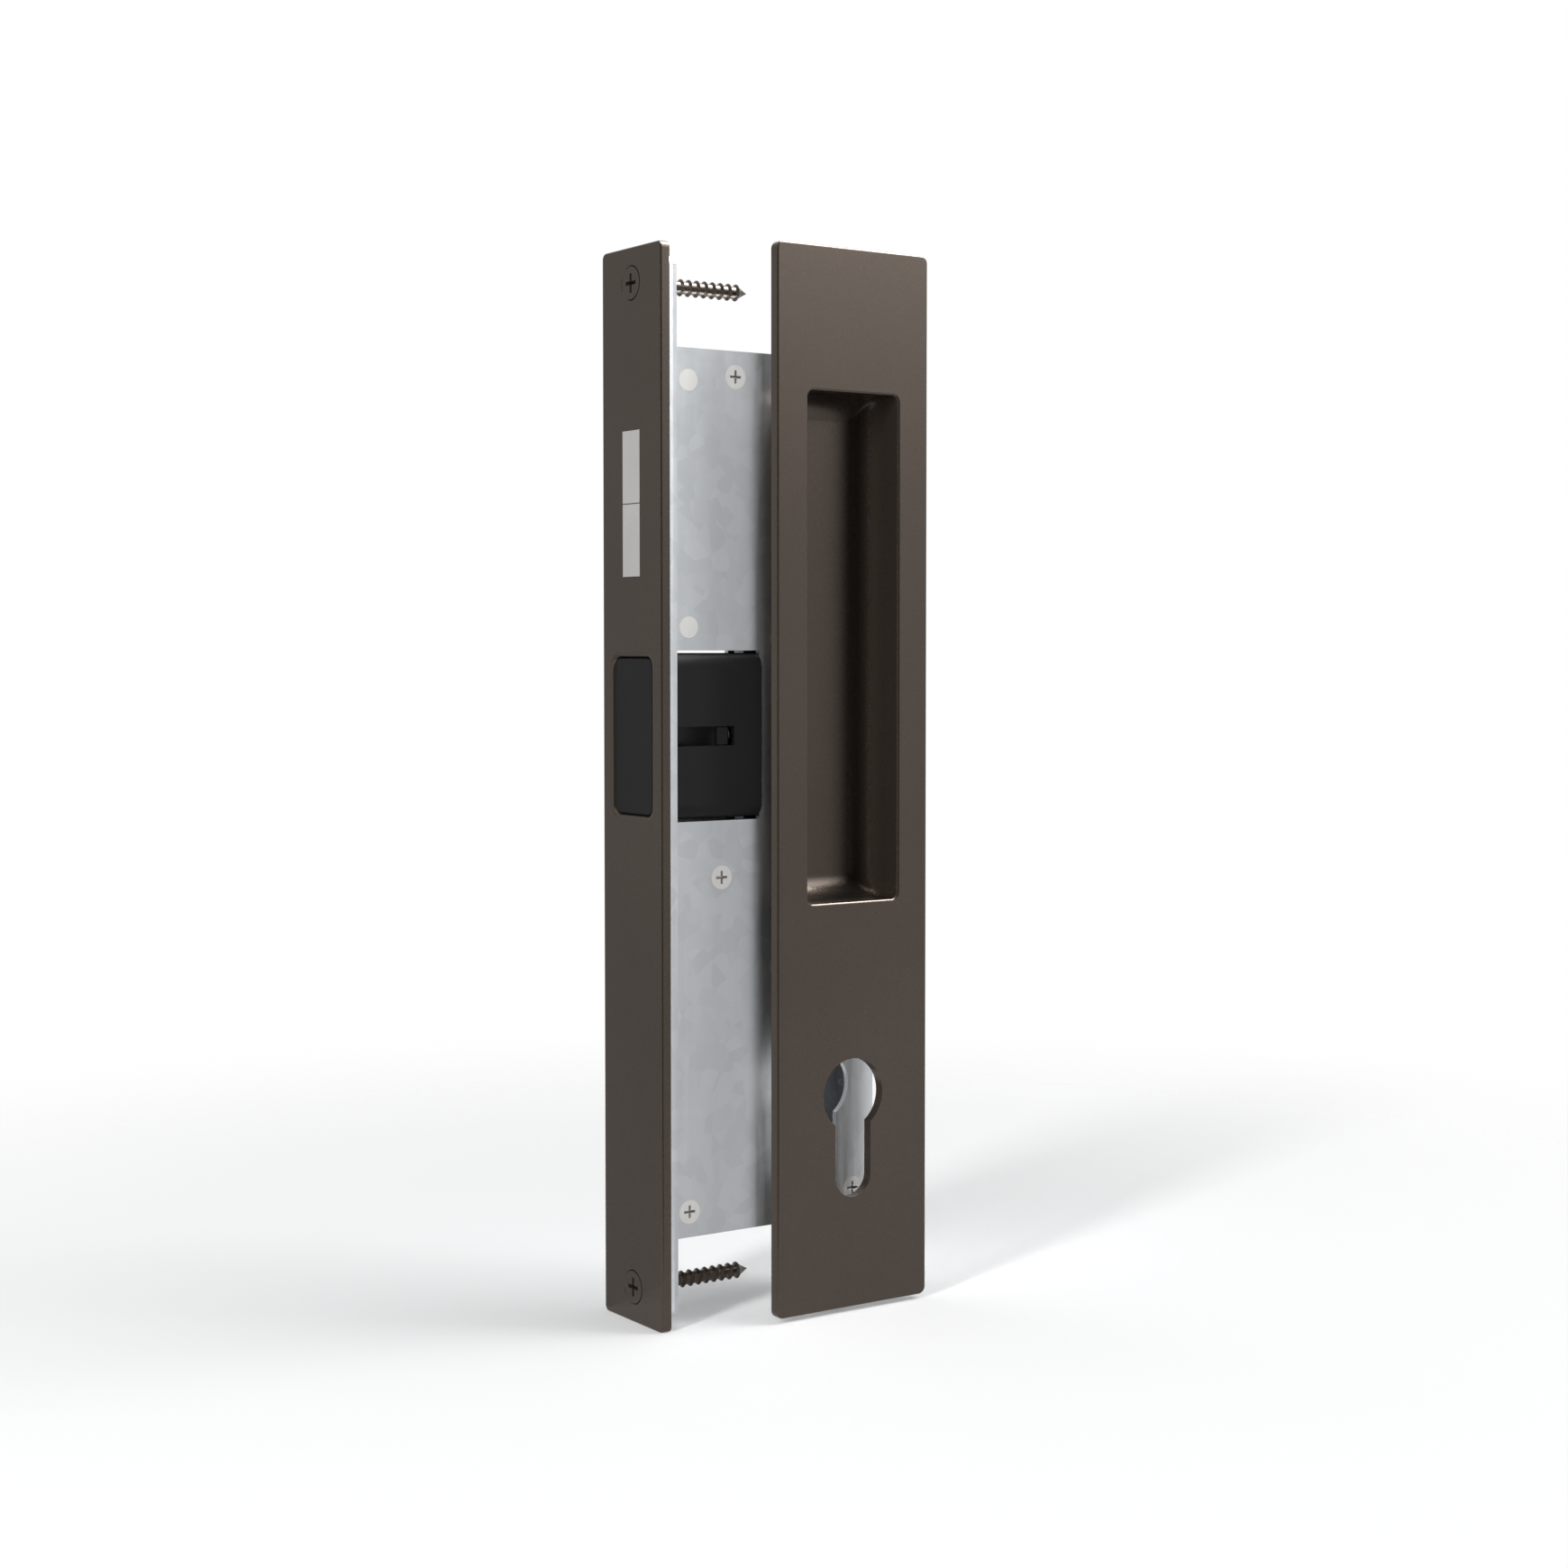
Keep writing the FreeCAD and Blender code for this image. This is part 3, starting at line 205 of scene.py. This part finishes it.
def plated_sheet():
    """Zinc-plated pressed sheet: soft spangle and a rolled grain."""
    m = Nodes("plated_steel")
    spangle = m.add("ShaderNodeTexVoronoi", Vector=m.place, Scale=260.0).outputs["Color"]
    tone = m.add("ShaderNodeSeparateColor", Color=spangle).outputs["Red"]
    roll = m.noise(scale=700.0, roughness=0.55, stretch=(1.0, 1.0, 0.06))
    colour = m.ramp(tone, shade(0.93, ZINC), shade(1.03, ZINC), first=0.0, last=1.0)
    normal = m.bump(roll, strength=0.08, distance=0.00005)
    return m.surface(colour, metallic=1.0, roughness=m.span(roll, 0.34, 0.44), normal=normal)


def cast_zinc():
    """Rough die casting with small pits."""
    m = Nodes("cast_zinc")
    pits = m.noise(scale=1400.0, detail=4.0, roughness=0.6)
    colour = m.ramp(m.noise(scale=90.0), shade(0.93, CAST), shade(1.05, CAST))
    normal = m.bump(pits, strength=0.2, distance=0.00006)
    return m.surface(colour, metallic=1.0, roughness=m.span(pits, 0.42, 0.55), normal=normal)


def spring_wire():
    """Drawn wire with faint marks of the die."""
    m = Nodes("spring_steel")
    marks = m.noise(scale=2400.0, roughness=0.6)
    colour = m.ramp(m.noise(scale=200.0), shade(0.92, WIRE), shade(1.05, WIRE))
    normal = m.bump(marks, strength=0.08, distance=0.00003)
    return m.surface(colour, metallic=1.0, roughness=m.span(marks, 0.25, 0.34), normal=normal)


MATERIALS = {
    "satin_bronze": satin_bronze(),
    "black_moulding": black_moulding(),
    "bright_steel": ground_steel(),
    "plated_steel": plated_sheet(),
    "cast_zinc": cast_zinc(),
    "spring_steel": spring_wire(),
}
slots = {part["node"]: part["material_slot"] for part in frame["record"]["subparts"]}
for name, node in nodes.items():
    node.data.materials.clear()
    node.data.materials.append(MATERIALS[slots[name]])


def moving_spring():
    """Copy of the coil between the box's back wall and the edge pull's pocket, put in place of the hidden
    original.
    """
    coil = bpy.data.objects.new("edge_pull_coil", nodes["edge_pull_spring"].data.copy())
    bpy.context.scene.collection.objects.link(coil)
    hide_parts("edge_pull_spring")
    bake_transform(coil)


moving_spring()


def showing_rays(tree):
    """1 for the rays that show a background: from the camera, and mirrored or bent by a piece."""
    path = tree.nodes.new("ShaderNodeLightPath")
    either = path.outputs["Is Camera Ray"]
    for ray in ("Is Glossy Ray", "Is Transmission Ray"):
        highest = tree.nodes.new("ShaderNodeMath")
        highest.operation = "MAXIMUM"
        tree.links.new(either, highest.inputs[0])
        tree.links.new(path.outputs[ray], highest.inputs[1])
        either = highest.outputs["Value"]
    return either


def flat_sheet(name, corners):
    """Four-cornered sheet, linked to the scene."""
    mesh = bpy.data.meshes.new(name)
    mesh.from_pydata(corners, [], [(0, 1, 2, 3)])
    sheet = bpy.data.objects.new(name, mesh)
    bpy.context.scene.collection.objects.link(sheet)
    return sheet


def fading_floor():
    """Pale floor that carries the shadow and fades out into the white background."""
    low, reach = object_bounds()[0][2], FLOOR_REACH
    corners = [(-reach, -reach, low), (reach, -reach, low), (reach, reach, low), (-reach, reach, low)]
    floor = flat_sheet("floor", corners)
    m = Nodes("pale_floor")
    diffuse = m.add("ShaderNodeBsdfDiffuse", Color=(*FLOOR_GREY, 1.0)).outputs["BSDF"]
    glow = m.add("ShaderNodeEmission", Color=(*WHITE, 1.0), Strength=FLOOR_GLOW).outputs["Emission"]
    lifted = m.add("ShaderNodeAddShader")
    m.set(lifted.inputs[0], diffuse)
    m.set(lifted.inputs[1], glow)
    lit = m.add("ShaderNodeMixShader", Fac=showing_rays(m.tree))
    m.set(lit.inputs[1], diffuse)
    m.set(lit.inputs[2], lifted.outputs["Shader"])
    distance = m.add("ShaderNodeVectorMath", Vector=m.place)
    distance.operation = "LENGTH"
    edge = m.add("ShaderNodeMapRange", Value=distance.outputs["Value"])
    edge.interpolation_type = "SMOOTHSTEP"
    edge.inputs["From Min"].default_value = FADE_START
    edge.inputs["From Max"].default_value = FADE_END
    clear = m.add("ShaderNodeBsdfTransparent").outputs["BSDF"]
    faded = m.add("ShaderNodeMixShader", Fac=edge.outputs["Result"])
    m.set(faded.inputs[1], lit.outputs["Shader"])
    m.set(faded.inputs[2], clear)
    m.set(m.output.inputs["Surface"], faded.outputs["Shader"])
    floor.data.materials.append(m.material)


def studio_world():
    """White to the camera and in reflections, softer as a source of light."""
    world = bpy.data.worlds.new("studio")
    bpy.context.scene.world = world
    world.use_nodes = True
    tree = world.node_tree
    tree.nodes.clear()
    shown = tree.nodes.new("ShaderNodeBackground")
    shown.inputs["Color"].default_value = (*WHITE, 1.0)
    shown.inputs["Strength"].default_value = 1.0
    light = tree.nodes.new("ShaderNodeBackground")
    light.inputs["Color"].default_value = (*SKY, 1.0)
    light.inputs["Strength"].default_value = SKY_LIGHT
    mix = tree.nodes.new("ShaderNodeMixShader")
    tree.links.new(showing_rays(tree), mix.inputs["Fac"])
    tree.links.new(light.outputs["Background"], mix.inputs[1])
    tree.links.new(shown.outputs["Background"], mix.inputs[2])
    output = tree.nodes.new("ShaderNodeOutputWorld")
    tree.links.new(mix.outputs["Shader"], output.inputs["Surface"])


def softbox(name, at, width, height, watts, mirrored=True):
    """Lamp aimed at the set's middle. Without mirrored it lights the set but doesn't show in the metal."""
    light = bpy.data.lights.new(name, "AREA")
    light.shape = "RECTANGLE"
    light.size, light.size_y = width, height
    light.energy = watts
    box = bpy.data.objects.new(name, light)
    box.location = at
    box.visible_glossy = mirrored
    box.rotation_euler = (Vector(MIDDLE) - Vector(at)).to_track_quat("-Z", "Y").to_euler()
    bpy.context.scene.collection.objects.link(box)


def card(name, tone, corners):
    """Grey or bright screen beside the set, seen only in the metal."""
    screen = flat_sheet(name, corners)
    screen.visible_camera = False
    screen.visible_diffuse = False
    screen.visible_shadow = False
    m = Nodes(name)
    flat = m.add("ShaderNodeEmission", Color=(tone, tone, tone, 1.0), Strength=1.0)
    m.set(m.output.inputs["Surface"], flat.outputs["Emission"])
    screen.data.materials.append(m.material)


def upright(first, last, low, high):
    """Corners of an upright screen between two points of the floor."""
    return [(*first, low), (*last, low), (*last, high), (*first, high)]


def lying(*points):
    """Corners of a screen that lies just above the floor."""
    return [(*point, cad_bounds[0][2] + SCREEN_LIFT) for point in points]


def facing(at, width, height):
    """Corners of a screen that faces the set's middle."""
    turn = (Vector(MIDDLE) - Vector(at)).to_track_quat("-Z", "Y")
    x, y = width / 2, height / 2
    return [Vector(at) + turn @ Vector(corner) for corner in ((-x, -y, 0), (x, -y, 0), (x, y, 0), (-x, y, 0))]


def photo_camera():
    """Camera of the photograph. Its dip leaves little shift, so that other views hold the whole set."""
    data = bpy.data.cameras.new("photo_camera")
    data.sensor_fit = "HORIZONTAL"
    data.sensor_width = CAMERA_SENSOR
    data.lens = CAMERA_LENS
    data.shift_y = CAMERA_SHIFT
    data.clip_start = CAMERA_NEAREST
    camera = bpy.data.objects.new("photo_camera", data)
    camera.location = CAMERA_AT
    camera.rotation_euler = (math.radians(90 - CAMERA_DIP), 0, -math.radians(CAMERA_YAW))
    bpy.context.scene.collection.objects.link(camera)
    bpy.context.scene.camera = camera


fading_floor()
studio_world()
softbox("overhead", at=(0.60, -0.34, 0.87), width=0.5, height=0.5, watts=5.0, mirrored=False)
softbox("front_right", at=(0.70, -0.85, 0.60), width=0.5, height=0.5, watts=2.0)
softbox("left", at=(-1.07, -0.46, 0.35), width=0.16, height=0.9, watts=16.0, mirrored=False)

# Dark to the left of the camera's mirror image, which darkens the far side of the finger cup
card("front_card", tone=0.02, corners=upright((0.548, -1.123), (-1.207, -0.323), low=-0.05, high=1.05))
card("front_floor_card", tone=0.02,
     corners=lying((-0.03, -0.06), (0.50, -1.14), (-0.58, -1.66), (-1.11, -0.59)))

# Grey behind and to the left, which the faceplate mirrors
card("back_card", tone=0.52, corners=facing((-0.75, 1.00, 0.20), width=1.7, height=1.8))
card("back_floor_card", tone=0.45, corners=lying((-0.04, 0.01), (-0.95, 0.15), (-0.70, 1.00), (0.05, 0.95)))

# Bright and high, for the lip and the steep part of the round at the finger cup's lower end
card("high_card", tone=45.0,
     corners=[(0.81, -0.49, 0.79), (0.94, -0.01, 0.79), (0.17, 0.21, 1.22), (0.03, -0.27, 1.22)])

# Pale in the door's place, between the plates
card("door_card", tone=0.6, corners=upright((-0.044, -0.012), (-0.016, -0.012), low=-0.05, high=0.197))

# Bright to the right, for the shallow part of the same round
card("side_card", tone=8.0, corners=facing((0.713, -0.598, 0.751), width=0.7, height=0.45))

photo_camera()
bpy.context.scene.view_settings.view_transform = "Standard"
